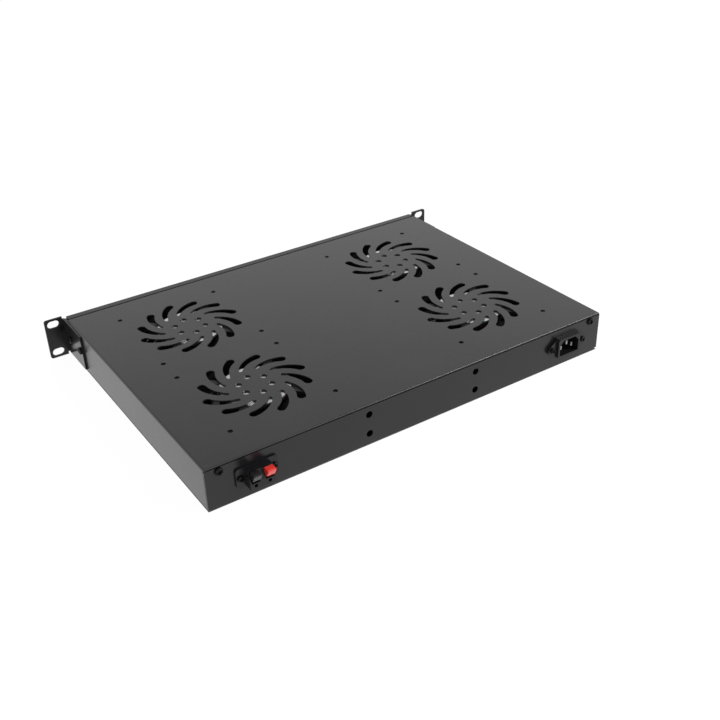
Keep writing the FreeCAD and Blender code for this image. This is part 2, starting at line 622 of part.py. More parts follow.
def blade():
    """One swept blade: flat sections at four radii, trimmed to the running circle."""
    hub_r = HUB_D / 2
    tip_r = FAN_BORE_D / 2 - BLADE_TIP_GAP
    radii = (hub_r - 4, hub_r + 8, hub_r + 16, tip_r + 4)
    sections = []
    for radius in radii:
        share = (radius - hub_r) / (tip_r - hub_r)
        pitch = math.radians(BLADE_ROOT_PITCH + (BLADE_TIP_PITCH - BLADE_ROOT_PITCH) * share)
        half = BLADE_HEIGHT / 2 / math.sin(pitch)
        along = vec(0, math.cos(pitch), math.sin(pitch))
        across = vec(0, -math.sin(pitch), math.cos(pitch)) * (BLADE_THICK / 2)
        camber = across * 1.6
        middle = vec(radius, share * 5, -(HUB_TOP + HUB_BOTTOM) / 2)
        points = [middle - along * half, middle + camber - across, middle + along * half,
                  middle + along * half + across * 0.6, middle + camber + across * 1.4,
                  middle - along * half + across * 0.6]
        sections.append(Part.makePolygon(points + [points[0]]))
    solid = Part.makeLoft(sections, True, True)
    swept = tube(tip_r, hub_r - HUB_WALL / 2, vec(0, 0, -HUB_BOTTOM), Z, HUB_BOTTOM - HUB_TOP)
    return solid.common(swept)


def fan_rotor():
    """Rotor cup over the stator, with its blades and the boss that takes the shaft."""
    hub_r = HUB_D / 2
    cup = rod(hub_r, vec(0, 0, -HUB_BOTTOM), Z, HUB_BOTTOM - HUB_TOP)
    cup = round_edges(cup, 2.0, lambda p: abs(p.z + HUB_BOTTOM) < 1e-6)
    hollow = rod(hub_r - HUB_WALL, vec(0, 0, -HUB_BOTTOM + HUB_FLOOR), Z, HUB_BOTTOM)
    boss_top = -STATOR_BOTTOM - 1.5
    boss = rod(HUB_BOSS_D / 2, vec(0, 0, -HUB_BOTTOM), Z, HUB_BOTTOM + boss_top)
    one = blade()
    blades = [turned(one, 360 / BLADES * i) for i in range(BLADES)]
    rotor = cup.cut(hollow).fuse([boss] + blades)
    return rotor.cut(fan_shaft()).removeSplitter()


def fan_shaft():
    low = -HUB_BOTTOM + 0.6
    high = -MOTOR_PLATE_DROP - MOTOR_PLATE - 0.6
    return rod(SHAFT_D / 2, vec(0, 0, low), Z, high - low)


def fan_label():
    return rod(MOTOR_D / 2 - LABEL_MARGIN, vec(0, 0, -MOTOR_PLATE_DROP), Z, LABEL_THICK)


def fan_guard():
    """Wire finger guard: rings welded under four spokes that end in screw eyes."""
    wire_r = GUARD_WIRE_D / 2
    ring_z = GUARD_Z - GUARD_WIRE_D * 0.8
    parts = [Part.makeTorus(GUARD_RING_STEP * (i + 1), wire_r, vec(0, 0, ring_z), Z)
             for i in range(GUARD_RINGS)]
    eye_reach = FAN_HOLE_PITCH / 2 * math.sqrt(2)
    eye_r = GUARD_EYE_D / 2
    spoke_start = GUARD_RING_STEP - GUARD_WIRE_D
    for i in range(4):
        heading = on_circle(1, 45 + 90 * i)
        start = heading * spoke_start + Z * GUARD_Z
        parts.append(rod(wire_r * 0.94, start, heading, eye_reach - eye_r - spoke_start))
        parts.append(Part.makeTorus(eye_r, wire_r, heading * eye_reach + Z * GUARD_Z, Z))
    return parts[0].fuse(parts[1:])


def fan_screws():
    """Long screws from below through guard and fan that bite in the holes of the cover."""
    length = FAN_DEPTH + GUARD_WIRE_D + SCREW_PLAY
    screw = turned(pan_screw(M4_D / 2, length, M4_HEAD_D / 2 + 0.6, M4_HEAD), 180, X)
    return [moved(screw, place - Z * (FAN_DEPTH + GUARD_WIRE_D)) for place in fan_corners()]


def fans():
    pieces = {
        "frame": fan_frame(), "spider": fan_spider(), "stator": fan_stator(),
        "rotor": fan_rotor(), "shaft": fan_shaft(), "guard": fan_guard(),
    }
    bearings = []
    labels = []
    screws = []
    for name, (fan_x, fan_y) in FANS.items():
        place = vec(fan_x, fan_y, CEILING)
        for piece, shape in pieces.items():
            keep("fan_" + piece + "_" + name, moved(shape, place))
        bearings += [moved(bush, place) for bush in fan_bearings()]
        labels.append(moved(fan_label(), place))
        screws += [moved(screw, place) for screw in fan_screws()]
    keep("fan_bearings", *bearings)
    keep("fan_labels", *labels)
    keep("fan_screws", *screws)


# ---- mains inlet, on the rear panel, around its own centre with the panel's face at y = 0 ------
def inlet_flange():
    """Flat flange: a rectangle with a rounded screw ear drawn out of each side."""
    half_w = INLET_MOUTH_WIDTH / 2 + INLET_FLANGE_SIDE
    half_h = INLET_MOUTH_HEIGHT / 2 + INLET_FLANGE_TOP
    ear_x = INLET_SCREW_PITCH / 2
    corner = math.atan2(half_h, ear_x - half_w)
    reach = math.hypot(half_h, ear_x - half_w)
    rise = math.pi - corner - math.acos(INLET_EAR_R / reach)
    touch_x = ear_x + INLET_EAR_R * math.cos(rise)
    touch_z = INLET_EAR_R * math.sin(rise)
    start = [vec(-half_w, 0, half_h), vec(half_w, 0, half_h), vec(touch_x, 0, touch_z)]
    lower = [vec(touch_x, 0, -touch_z), vec(half_w, 0, -half_h),
             vec(-half_w, 0, -half_h), vec(-touch_x, 0, -touch_z)]
    left_up = vec(-touch_x, 0, touch_z)
    edges = [
        Part.LineSegment(start[0], start[1]),
        Part.LineSegment(start[1], start[2]),
        Part.Arc(start[2], vec(ear_x + INLET_EAR_R, 0, 0), lower[0]),
        Part.LineSegment(lower[0], lower[1]),
        Part.LineSegment(lower[1], lower[2]),
        Part.LineSegment(lower[2], lower[3]),
        Part.Arc(lower[3], vec(-ear_x - INLET_EAR_R, 0, 0), left_up),
        Part.LineSegment(left_up, start[0]),
    ]
    face = Part.Face(Part.Wire([edge.toShape() for edge in edges]))
    return face.extrude(Y * INLET_FLANGE)


def inlet_body():
    front = INLET_FLANGE + INLET_COLLAR
    collar = plate(INLET_MOUTH_WIDTH + 2 * INLET_COLLAR_WALL, INLET_MOUTH_HEIGHT + 2 * INLET_COLLAR_WALL,
                   0, front, 2.0)
    behind = plate(INLET_BODY_WIDTH, INLET_BODY_HEIGHT, -INLET_BODY_DEPTH, 1, 1.0)
    body = inlet_flange().fuse([collar, behind])
    half_w = INLET_MOUTH_WIDTH / 2
    half_h = INLET_MOUTH_HEIGHT / 2
    chamfer = INLET_MOUTH_CHAMFER
    outline = [vec(-half_w, front + 1, -half_h), vec(half_w, front + 1, -half_h),
               vec(half_w, front + 1, half_h - chamfer), vec(half_w - chamfer, front + 1, half_h),
               vec(chamfer - half_w, front + 1, half_h), vec(-half_w, front + 1, half_h - chamfer)]
    mouth = prism(outline, Y * -(INLET_MOUTH_DEPTH + 1))
    holes = [rod(M3_PLAIN_R, vec(side * INLET_SCREW_PITCH / 2, -1, 0), Y, INLET_FLANGE + 2)
             for side in (-1, 1)]
    return body.cut([mouth] + holes + inlet_pins()).removeSplitter()


def inlet_pins():
    """Three contact pins, the middle one higher, each ending behind in a push-on tab."""
    front = INLET_FLANGE + INLET_COLLAR
    tip = front - PIN_SETBACK
    back = -INLET_BODY_DEPTH - TAB_LENGTH
    pins = []
    for column, row in ((-1, -1), (0, 1), (1, -1)):
        centre_x = column * PIN_SPACING / 2
        centre_z = row * PIN_ROW_STEP / 2
        pin_tip = tip + EARTH_LEAD if column == 0 else tip
        blade_part = box(centre_x - PIN_WIDTH / 2, centre_x + PIN_WIDTH / 2, -INLET_BODY_DEPTH, pin_tip,
                         centre_z - PIN_HEIGHT / 2, centre_z + PIN_HEIGHT / 2)
        tab = box(centre_x - TAB_THICK / 2, centre_x + TAB_THICK / 2, back, -INLET_BODY_DEPTH,
                  centre_z - TAB_WIDTH / 2, centre_z + TAB_WIDTH / 2)
        pins.append(blade_part.fuse(tab).removeSplitter())
    return pins


def panel_nuts(screw_xs):
    """Hexagon nuts behind the rear panel."""
    points = [on_circle(M3_NUT_AF / math.sqrt(3), 60 * i) for i in range(6)]
    nut = prism(points, Z * M3_NUT).cut(rod(M3_D / 2, vec(0, 0, -1), Z, M3_NUT + 2))
    nut = turned(nut, 90, X)
    return [moved(nut, vec(x, REAR_INNER, 0)) for x in screw_xs]


def inlet():
    place = vec(INLET_X, REAR, 0)
    keep("inlet_body", moved(inlet_body(), place))
    keep("inlet_pins", *[moved(pin, place) for pin in inlet_pins()])
    screw = turned(pan_screw(M3_D / 2, PANEL_SCREW_LENGTH, M3_HEAD_D / 2, M3_HEAD), 45)
    screw = turned(screw, -90, X)
    keep("inlet_screws", *[moved(screw, place + vec(side * INLET_SCREW_PITCH / 2, INLET_FLANGE, 0))
                           for side in (-1, 1)])


# ---- spring terminal for the probe, on the rear panel ------------------------------------------
def terminal_body():
    """Plate and sloping block with two lever wells and a wire port under each."""
    base = plate(TERMINAL_WIDTH, TERMINAL_HEIGHT, 0, TERMINAL_PLATE, TERMINAL_CORNER_R)
    half = BLOCK_WIDTH / 2
    outline = [vec(-half, 0, BLOCK_BOTTOM), vec(-half, BLOCK_REACH, BLOCK_BOTTOM),
               vec(-half, BLOCK_REACH, BLOCK_SLOPE_Z), vec(-half, BLOCK_TOP_REACH, BLOCK_TOP),
               vec(-half, 0, BLOCK_TOP)]
    block = prism(outline, X * BLOCK_WIDTH)
    inner = plate(BLOCK_WIDTH, BLOCK_INNER_HEIGHT, -BLOCK_INNER_DEPTH, 1, 1.0)
    body = base.fuse([block, inner])
    cuts = []
    well_half = LEVER_WIDTH / 2 + LEVER_PLAY
    for side in (-1, 1):
        centre_x = side * LEVER_PITCH / 2
        well_xs = (centre_x - well_half, centre_x + well_half)
        floor_z = BLOCK_SLOPE_Z - WELL_DEPTH
        cuts.append(box(*well_xs, TERMINAL_PLATE, BLOCK_REACH + 1, floor_z, BLOCK_TOP - BLOCK_ROOF))
        cuts.append(box(*well_xs, BLOCK_TOP_REACH, BLOCK_REACH + 1, floor_z, BLOCK_TOP + 1))
        port = vec(centre_x, BLOCK_REACH + 1, WIRE_PORT_Z)
        cuts.append(rod(WIRE_PORT_D / 2, port, -Y, WIRE_PORT_DEPTH + 1))
        cuts.append(rod(M3_PLAIN_R, vec(side * TERMINAL_SCREW_PITCH / 2, -1, 0), Y, TERMINAL_PLATE + 2))
    cuts.append(rod(LEVER_PIN_D / 2, vec(-half - 1, LEVER_PIVOT_Y, LEVER_PIVOT_Z), X, BLOCK_WIDTH + 2))
    return body.cut(cuts + terminal_contacts()).removeSplitter()


def terminal_lever():
    """Push-down paddle, centred on x = 0 and drawn around the pin that it turns on."""
    half = LEVER_WIDTH / 2
    profile = [(-2.0, -1.6), (-2.0, 1.2), (-0.6, 2.4), (3.4, 2.4), (4.2, 4.7), (10.6, 4.9), (11.7, 4.0),
               (7.8, -2.9), (5.0, -3.3), (1.6, -2.2)]
    lever = prism([vec(-half, y, z) for y, z in profile], X * LEVER_WIDTH)
    lever = round_upright(lever, 0.5, X)
    bore = rod(LEVER_PIN_D / 2 + RUN_CLEARANCE, vec(-half - 1, 0, 0), X, LEVER_WIDTH + 2)
    grip = [rod(0.45, vec(-half - 1, 5.2 + 1.7 * i, 5.1 + 0.035 * i), X, LEVER_WIDTH + 2)
            for i in range(4)]
    return moved(lever.cut([bore] + grip), vec(0, LEVER_PIVOT_Y, LEVER_PIVOT_Z))


def terminal_contacts():
    """Contact strip from the end of each port through the block to a solder tab behind it."""
    strips = []
    for side in (-1, 1):
        centre_x = side * LEVER_PITCH / 2
        strips.append(box(centre_x - 1.5, centre_x + 1.5, -BLOCK_INNER_DEPTH - TAB_LENGTH,
                          BLOCK_REACH - WIRE_PORT_DEPTH, WIRE_PORT_Z, WIRE_PORT_Z + TAB_THICK))
    return strips


def terminal():
    place = vec(TERMINAL_X, REAR, 0)
    keep("terminal_body", moved(terminal_body(), place))
    lever = terminal_lever()
    for name, side in (("red", -1), ("black", 1)):
        keep("terminal_lever_" + name, moved(lever, place + X * (side * LEVER_PITCH / 2)))
    pin = rod(LEVER_PIN_D / 2, vec(-BLOCK_WIDTH / 2, LEVER_PIVOT_Y, LEVER_PIVOT_Z), X, BLOCK_WIDTH)
    keep("terminal_pin", moved(pin, place))
    keep("terminal_contacts", *[moved(strip, place) for strip in terminal_contacts()])
    screw = turned(pan_screw(M3_D / 2, PANEL_SCREW_LENGTH, M3_HEAD_D / 2, M3_HEAD), -90, X)
    keep("terminal_screws", *[moved(screw, place + vec(side * TERMINAL_SCREW_PITCH / 2, TERMINAL_PLATE, 0))
                              for side in (-1, 1)])
    screw_xs = [INLET_X - INLET_SCREW_PITCH / 2, INLET_X + INLET_SCREW_PITCH / 2,
                TERMINAL_X - TERMINAL_SCREW_PITCH / 2, TERMINAL_X + TERMINAL_SCREW_PITCH / 2]
    keep("panel_nuts", *panel_nuts(screw_xs))


# ---- power switch, on the front panel, around its own centre, panel face at y = 0 --------------
def switch_housing():
    rim = 2 * SWITCH_RIM
    bezel = plate(SWITCH_BODY_WIDTH + rim, SWITCH_BODY_HEIGHT + rim, -SWITCH_BEZEL, 0, 1.5)
    body = plate(SWITCH_BODY_WIDTH, SWITCH_BODY_HEIGHT, -1, SWITCH_BODY_DEPTH, 0.8)
    well_x = ROCKER_LENGTH / 2 + ROCKER_END_PLAY
    well_z = SWITCH_BODY_HEIGHT / 2 - SWITCH_WALL
    well = box(-well_x, well_x, -SWITCH_BEZEL - 1, 6, -well_z, well_z)
    tabs = [box(x - TAB_WIDTH / 2, x + TAB_WIDTH / 2, SWITCH_BODY_DEPTH - 1, SWITCH_BODY_DEPTH + TAB_LENGTH,
                -TAB_THICK / 2, TAB_THICK / 2) for x in (-5, 5)]
    pin = rod(1.0, vec(0, 1.0, -well_z - 0.5), Z, 2 * well_z + 1)
    return bezel.fuse([body]).cut(well).fuse(tabs + [pin]).removeSplitter()


def switch_rocker():
    """Rocker lying over to its off side, bored for the pin of the housing."""
    half_z = SWITCH_BODY_HEIGHT / 2 - SWITCH_WALL - ROCKER_PLAY
    half_x = ROCKER_LENGTH / 2
    profile = [(-half_x, -3.2), (0, -2.2), (half_x, -3.2), (half_x - 0.8, 0.4), (3.0, 3.4),
               (-3.0, 3.4), (0.8 - half_x, 0.4)]
    rocker = prism([vec(x, y, -half_z) for x, y in profile], Z * (2 * half_z))
    bore = rod(1.0 + RUN_CLEARANCE, vec(0, 1.0, -half_z - 1), Z, 2 * half_z + 2)
    return turned(rocker.cut(bore), -ROCKER_TILT, Z, vec(0, 1.0, 0))


# ---- thermostat module, on the front panel ------------------------------------------------------
def thermostat_case():
    rim = 2 * THERMO_RIM
    bezel = plate(THERMO_BODY_WIDTH + rim, THERMO_BODY_HEIGHT + rim, -THERMO_BEZEL, 0, 2.0)
    body = plate(THERMO_BODY_WIDTH, THERMO_BODY_HEIGHT, -1, THERMO_BODY_DEPTH, 1.0)
    hollow = box(THERMO_WALL - THERMO_BODY_WIDTH / 2, THERMO_BODY_WIDTH / 2 - THERMO_WALL, -0.6,
                 THERMO_BODY_DEPTH + 1, THERMO_WALL - THERMO_BODY_HEIGHT / 2,
                 THERMO_BODY_HEIGHT / 2 - THERMO_WALL)
    face_y = -THERMO_BEZEL
    window = box(WINDOW_LEFT, WINDOW_RIGHT, face_y - 1, face_y + WINDOW_THICK,
                 -WINDOW_HEIGHT / 2, WINDOW_HEIGHT / 2)
    view = box(WINDOW_LEFT + 1.5, WINDOW_RIGHT - 1.5, face_y, 0,
               1.5 - WINDOW_HEIGHT / 2, WINDOW_HEIGHT / 2 - 1.5)
    holes = [rod(BUTTON_D / 2 + BUTTON_PLAY, vec(x, face_y - 1, 0), Y, THERMO_BEZEL + 2) for x in BUTTON_XS]
    return bezel.fuse(body).cut([hollow, window, view] + holes).removeSplitter()


def thermostat_button():
    """Cap with a stop flange behind the bezel and a stem to the switch on the board."""
    proud = -THERMO_BEZEL - BUTTON_PROUD
    flange_y = -0.6 + RUN_CLEARANCE
    cap = rod(BUTTON_D / 2, vec(0, proud, 0), Y, flange_y - proud)
    cap = round_edges(cap, 0.5, lambda p: abs(p.y - proud) < 1e-6)
    flange = rod(BUTTON_FLANGE_D / 2, vec(0, flange_y, 0), Y, BUTTON_FLANGE)
    stem_end = BOARD_BEHIND - 2.5 - BUTTON_TRAVEL - RUN_CLEARANCE
    stem = rod(1.2, vec(0, flange_y, 0), Y, stem_end - flange_y)
    return cap.fuse([flange, stem]).removeSplitter()


def thermostat_board():
    """Circuit board with a display frame and three small key switches."""
    half_w = THERMO_BODY_WIDTH / 2 - THERMO_WALL
    half_h = THERMO_BODY_HEIGHT / 2 - THERMO_WALL
    board = box(-half_w, half_w, BOARD_BEHIND, BOARD_BEHIND + BOARD_THICK, -half_h, half_h)
    keys = [box(x - 3, x + 3, BOARD_BEHIND - 2.5, BOARD_BEHIND, -3, 3) for x in BUTTON_XS]
    return board.fuse(keys).removeSplitter()


def display_digits():
    """Seven-segment display block that fills the space between board and window."""
    back = BOARD_BEHIND
    front = -THERMO_BEZEL + WINDOW_THICK
    width = DIGIT_PITCH * DIGITS
    middle_x = (WINDOW_LEFT + WINDOW_RIGHT) / 2
    return box(middle_x - width / 2, middle_x + width / 2, front, back,
               -DIGIT_HEIGHT / 2 - 0.9, DIGIT_HEIGHT / 2 + 0.9)


def thermostat_back():
    """Rear lid with the screw terminals of the module."""
    half_w = THERMO_BODY_WIDTH / 2 - THERMO_WALL
    half_h = THERMO_BODY_HEIGHT / 2 - THERMO_WALL
    depth = THERMO_BODY_DEPTH
    lid = box(-half_w, half_w, depth - THERMO_LID, depth, -half_h, half_h)
    strip_half = half_w - THERMO_STRIP_IN
    strip = box(-strip_half, strip_half, depth, depth + THERMO_STRIP, -half_h, 0)
    way = 2 * strip_half / THERMO_WAYS
    wells = [rod(way * 0.22, vec(way * (i + 0.5) - strip_half, depth + THERMO_STRIP / 2, 1), -Z, half_h / 2)
             for i in range(THERMO_WAYS)]
    return lid.fuse(strip).cut(wells).removeSplitter()


def thermostat_clips():
    """Spring clips beside the case that pull the bezel against the panel."""
    half_w = THERMO_BODY_WIDTH / 2
    half_h = CLIP_HEIGHT / 2
    blank = box(half_w, half_w + CLIP_THICK, SHEET, SHEET + CLIP_LENGTH, -half_h, half_h)
    notch = box(half_w + CLIP_SPRING, half_w + CLIP_THICK + 1, SHEET + CLIP_LENGTH * 0.2,
                SHEET + CLIP_LENGTH * 0.83, -half_h - 1, half_h + 1)
    clip = blank.cut(notch)
    return [clip, mirrored(clip)]


def front_controls():
    place = vec(SWITCH_X, FRONT, 0)
    keep("switch_housing", moved(switch_housing(), place))
    keep("switch_rocker", moved(switch_rocker(), place))

    place = vec(THERMO_X, FRONT, 0)
    keep("thermostat_case", moved(thermostat_case(), place))
    button = thermostat_button()
    for name, button_x in zip(("set", "up", "down"), BUTTON_XS):
        keep("thermostat_button_" + name, moved(button, place + X * button_x))
    keep("thermostat_board", moved(thermostat_board(), place))
    keep("display_digits", moved(display_digits(), place))
    window_y = -THERMO_BEZEL
    window = box(WINDOW_LEFT, WINDOW_RIGHT, window_y, window_y + WINDOW_THICK,
                 -WINDOW_HEIGHT / 2, WINDOW_HEIGHT / 2)
    keep("display_window", moved(window, place))
    keep("thermostat_back", moved(thermostat_back(), place))
    keep("thermostat_clips", *[moved(clip, place) for clip in thermostat_clips()])


# ---- wiring, laid on the bottom plate between the fans ------------------------------------------
def strip_x(way):
    """Centre of one way of the connector strip, counted from the left."""
    return STRIP_PITCH * (way - (STRIP_WAYS - 1) / 2)


def connector_strip():
    """Strip of screw connectors with a well over each of the two screws of a way."""
    half = STRIP_PITCH * (STRIP_WAYS + 0.5) / 2
    strip = box(-half, half, STRIP_Y, STRIP_Y + STRIP_DEPTH, FLOOR, FLOOR + STRIP_HEIGHT)
    wells = []
    for way in range(STRIP_WAYS):
        for screw_y in (STRIP_DEPTH * 0.28, STRIP_DEPTH * 0.72):
            place = vec(strip_x(way), STRIP_Y + screw_y, FLOOR + STRIP_HEIGHT * 0.5)
            wells.append(rod(STRIP_PITCH * 0.275, place, Z, STRIP_HEIGHT))
        if way:
            gap_x = strip_x(way) - STRIP_PITCH / 2
            half_gap = STRIP_PITCH * 0.1
            wells.append(box(gap_x - half_gap, gap_x + half_gap, STRIP_Y - 1, STRIP_Y + STRIP_DEPTH + 1,
                             FLOOR + STRIP_HEIGHT * 0.55, FLOOR + STRIP_HEIGHT + 1))
    return strip.cut(wells)


def mains_leads():
    """From the inlet tabs along the rear panel, and from the switch along the front panel."""
    low = LEAD_LOW
    strip_rear = STRIP_Y + STRIP_DEPTH
    leads = []
    for i, (column, row) in enumerate(((1, -1), (0, 1), (-1, -1))):
        x = INLET_X + column * PIN_SPACING / 2
        y = REAR - INLET_BODY_DEPTH - TAB_LENGTH + 1.5 + LEAD_STEP * i * 0.85
        tab_low = row * PIN_ROW_STEP / 2 - TAB_WIDTH / 2
        aisle_x = LEAD_STEP * i - AISLE_X
        turn_y = strip_rear + 17 + LEAD_STEP * i
        way_x = strip_x(1 + i)
        leads.append(lead([vec(x, y, tab_low), vec(x, y, low), vec(aisle_x, y, low),
                           vec(aisle_x, turn_y, low), vec(way_x, turn_y, low),
                           vec(way_x, strip_rear, low)], LEAD_D / 2))
    for i, tab_x in enumerate((5, -5)):
        x = SWITCH_X + tab_x
        tab_end = FRONT + SWITCH_BODY_DEPTH + TAB_LENGTH
        y = tab_end + 7.5 + LEAD_STEP * i
        aisle_x = 2 - AISLE_X - LEAD_STEP * i
        turn_y = STRIP_Y - 11 + LEAD_STEP * i
        way_x = strip_x(2 - i)
        leads.append(lead([vec(x, tab_end, 0), vec(x, y, 0), vec(x, y, low), vec(aisle_x, y, low),
                           vec(aisle_x, turn_y, low), vec(way_x, turn_y, low),
                           vec(way_x, STRIP_Y, low)], LEAD_D / 2))
    return leads


def thermostat_leads():
    """Straight across the middle from the strip to the back of the thermostat."""
    low = LEAD_LOW
    level = -THERMO_BODY_HEIGHT / 4
    leads = []
    for way in (3, 4, 5, 6):
        x = strip_x(way)
        leads.append(lead([vec(x, STRIP_Y, low), vec(x, THERMO_BACK + 20, low),
                           vec(x, THERMO_BACK + 12, level), vec(x, THERMO_BACK, level)], LEAD_D / 2))
    return leads


def probe_leads():
    """From the spring terminal along the rear panel and down the right-hand aisle."""
    low = LEAD_LOW
    tab_y = REAR - BLOCK_INNER_DEPTH - TAB_LENGTH
    leads = []
    for i in range(2):
        x = TERMINAL_X + (i - 0.5) * LEVER_PITCH
        y = tab_y + 1.5 + LEAD_STEP * i
        aisle_x = AISLE_X - LEAD_STEP * i
        turn_y = THERMO_BACK + 14 + LEAD_STEP * i
        end_x = 28 - 6 * i
        leads.append(lead([vec(x, y, WIRE_PORT_Z), vec(x, y, low), vec(aisle_x, y, low),
                           vec(aisle_x, turn_y, low), vec(end_x, turn_y, low),
                           vec(end_x, THERMO_BACK + 7, -THERMO_BODY_HEIGHT / 4),
                           vec(end_x, THERMO_BACK, -THERMO_BODY_HEIGHT / 4)], LEAD_D / 2))
    return leads


def fan_leads():
    """One lead per fan, over the others to the outer ways of the strip."""
    high = LEAD_LOW + LEAD_D * LEAD_LIFT
    outlet_z = CEILING - FAN_DEPTH * 0.6
    leads = []
    for fan_x, fan_y in FANS.values():
        side = 1 if fan_x > 0 else -1
        outlet = side * FAN_INNER_X
        drop_x = side * (FAN_INNER_X - DROP_CLEAR)
        rear = fan_y > STRIP_Y
        strip_face = STRIP_Y + STRIP_DEPTH if rear else STRIP_Y
        turn_y = strip_face + (8 if rear else -5)
        way_x = side * strip_x(STRIP_WAYS - 1)
        leads.append(lead([vec(outlet, fan_y, outlet_z), vec(drop_x, fan_y, outlet_z),
                           vec(drop_x, fan_y, high), vec(drop_x, turn_y, high), vec(way_x, turn_y, high),
                           vec(way_x, strip_face, high)], LEAD_D / 2))
    return leads


# ---- build ----------------------------------------------------------------------------------
keep("top_cover", top_cover())
keep("chassis_pan", chassis_pan())
keep("ear_bracket_right", ear_bracket())
keep("ear_bracket_left", mirrored(ear_bracket()))
case_screws()
fans()
inlet()
terminal()
front_controls()
keep("connector_strip", connector_strip())
keep("mains_leads", *mains_leads(), *thermostat_leads())
keep("probe_leads", *probe_leads())
keep("fan_leads", *fan_leads())

os.makedirs("parts", exist_ok=True)
for node_name, node_shape in nodes.items():
    node_shape.exportStep(os.path.join("parts", node_name + ".step"))
print(len(nodes), "nodes,", sum(len(shape.Solids) for shape in nodes.values()), "solids")
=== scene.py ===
import json
import math

import bmesh
import bpy
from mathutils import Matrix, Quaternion, Vector


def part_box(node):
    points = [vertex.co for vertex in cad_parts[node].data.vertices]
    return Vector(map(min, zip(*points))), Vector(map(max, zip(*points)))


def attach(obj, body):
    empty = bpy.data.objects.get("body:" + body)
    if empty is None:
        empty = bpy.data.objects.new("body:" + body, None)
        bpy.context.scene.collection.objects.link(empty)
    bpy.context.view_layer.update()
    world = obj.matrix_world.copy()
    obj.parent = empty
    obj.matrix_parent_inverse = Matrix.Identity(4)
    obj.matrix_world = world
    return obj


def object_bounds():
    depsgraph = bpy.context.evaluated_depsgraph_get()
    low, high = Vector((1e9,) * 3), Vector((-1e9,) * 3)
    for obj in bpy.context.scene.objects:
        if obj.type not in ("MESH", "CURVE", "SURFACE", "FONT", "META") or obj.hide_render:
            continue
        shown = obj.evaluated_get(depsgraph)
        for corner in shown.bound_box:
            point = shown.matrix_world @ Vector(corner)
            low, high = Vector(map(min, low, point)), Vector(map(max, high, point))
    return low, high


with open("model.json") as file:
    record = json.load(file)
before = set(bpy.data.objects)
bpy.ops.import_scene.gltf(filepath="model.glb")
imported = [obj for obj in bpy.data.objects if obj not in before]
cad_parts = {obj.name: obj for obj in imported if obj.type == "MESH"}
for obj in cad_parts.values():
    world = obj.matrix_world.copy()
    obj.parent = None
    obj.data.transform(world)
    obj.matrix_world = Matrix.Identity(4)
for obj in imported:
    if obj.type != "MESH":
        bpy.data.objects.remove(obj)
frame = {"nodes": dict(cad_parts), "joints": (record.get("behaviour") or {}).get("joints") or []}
nodes = frame["nodes"]
cad_low, cad_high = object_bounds()

# ---- Folded case -----------------------------------------------------------------------------
# Cover, pan and rack ears, cut and folded from sheet steel, then powder coated black. The coat
# is semi-gloss with a fine orange peel, a little fuller and duller from place to place.


class Socket:
    """One output of a shader node, so that shading maths reads as plain arithmetic."""

    def __init__(self, finish, output):
        self.finish = finish
        self.output = output

    def maths(self, operation, *values):
        return self.finish.node("ShaderNodeMath", {"operation": operation}, dict(enumerate(values)))

    def __add__(self, other):
        return self.maths("ADD", self, other)

    def __sub__(self, other):
        return self.maths("SUBTRACT", self, other)

    def __rsub__(self, other):
        return self.maths("SUBTRACT", other, self)

    def __mul__(self, other):
        return self.maths("MULTIPLY", self, other)

    def __pow__(self, other):
        return self.maths("POWER", self, other)

    def __lt__(self, other):
        return self.maths("LESS_THAN", self, other)

    def __abs__(self):
        return self.maths("ABSOLUTE", self)

    __radd__ = __add__
    __rmul__ = __mul__


class Finish:
    """A material in the making, on one Principled shader."""

    def __init__(self, name, **constant):
        self.material = bpy.data.materials.new(name)
        self.material.use_nodes = True
        self.tree = self.material.node_tree
        self.shader = self.tree.nodes["Principled BSDF"]
        for key, value in constant.items():
            self.shader.inputs[key.replace("_", " ")].default_value = value

    def node(self, kind, settings=None, feeds=None, output=0):
        """Adds a node, sets it up, feeds its sockets and returns one of its outputs."""
        made = self.tree.nodes.new(kind)
        for key, value in (settings or {}).items():
            if key == "stops":
                ramp = made.color_ramp
                while len(ramp.elements) < len(value):
                    ramp.elements.new(0.5)
                for element, (position, colour) in zip(ramp.elements, value):
                    element.position = position
                    element.color = (*colour, 1)
            else:
                setattr(made, key, value)
        for key, value in (feeds or {}).items():
            self.feed(made.inputs[key], value)
        return Socket(self, made.outputs[output])

    def feed(self, target, value):
        if isinstance(value, Socket):
            self.tree.links.new(value.output, target)
        else:
            target.default_value = value

    def set(self, **varying):
        for key, value in varying.items():
            self.feed(self.shader.inputs[key.replace("_", " ")], value)
        return self

    def place(self):
        return self.node("ShaderNodeTexCoord", output="Object")

    def along(self, axis):
        """Coordinate along X, Y or Z, in metres."""
        return self.node("ShaderNodeSeparateXYZ", {}, {0: self.place()}, axis)

    def noise(self, size, detail=2.0):
        """Cloudy noise from 0 to 1 whose lumps are about size metres across."""
        return self.node("ShaderNodeTexNoise", {}, {
            "Vector": self.place(), "Scale": 1 / size, "Detail": detail})

    def between(self, factor, first, second):
        """Colour that runs from first to second."""
        return self.node("ShaderNodeMix", {"data_type": "RGBA"},
                         {0: factor, 6: (*first, 1), 7: (*second, 1)}, 2)

    def bump(self, height, depth, strength=1.0):
        """Relief of the given depth in metres."""
        return self.node("ShaderNodeBump", {}, {
            "Height": height, "Distance": depth, "Strength": strength})

    def dress(self, *names):
        for name in names:
            data = nodes[name].data
            data.materials.clear()
            data.materials.append(self.material)


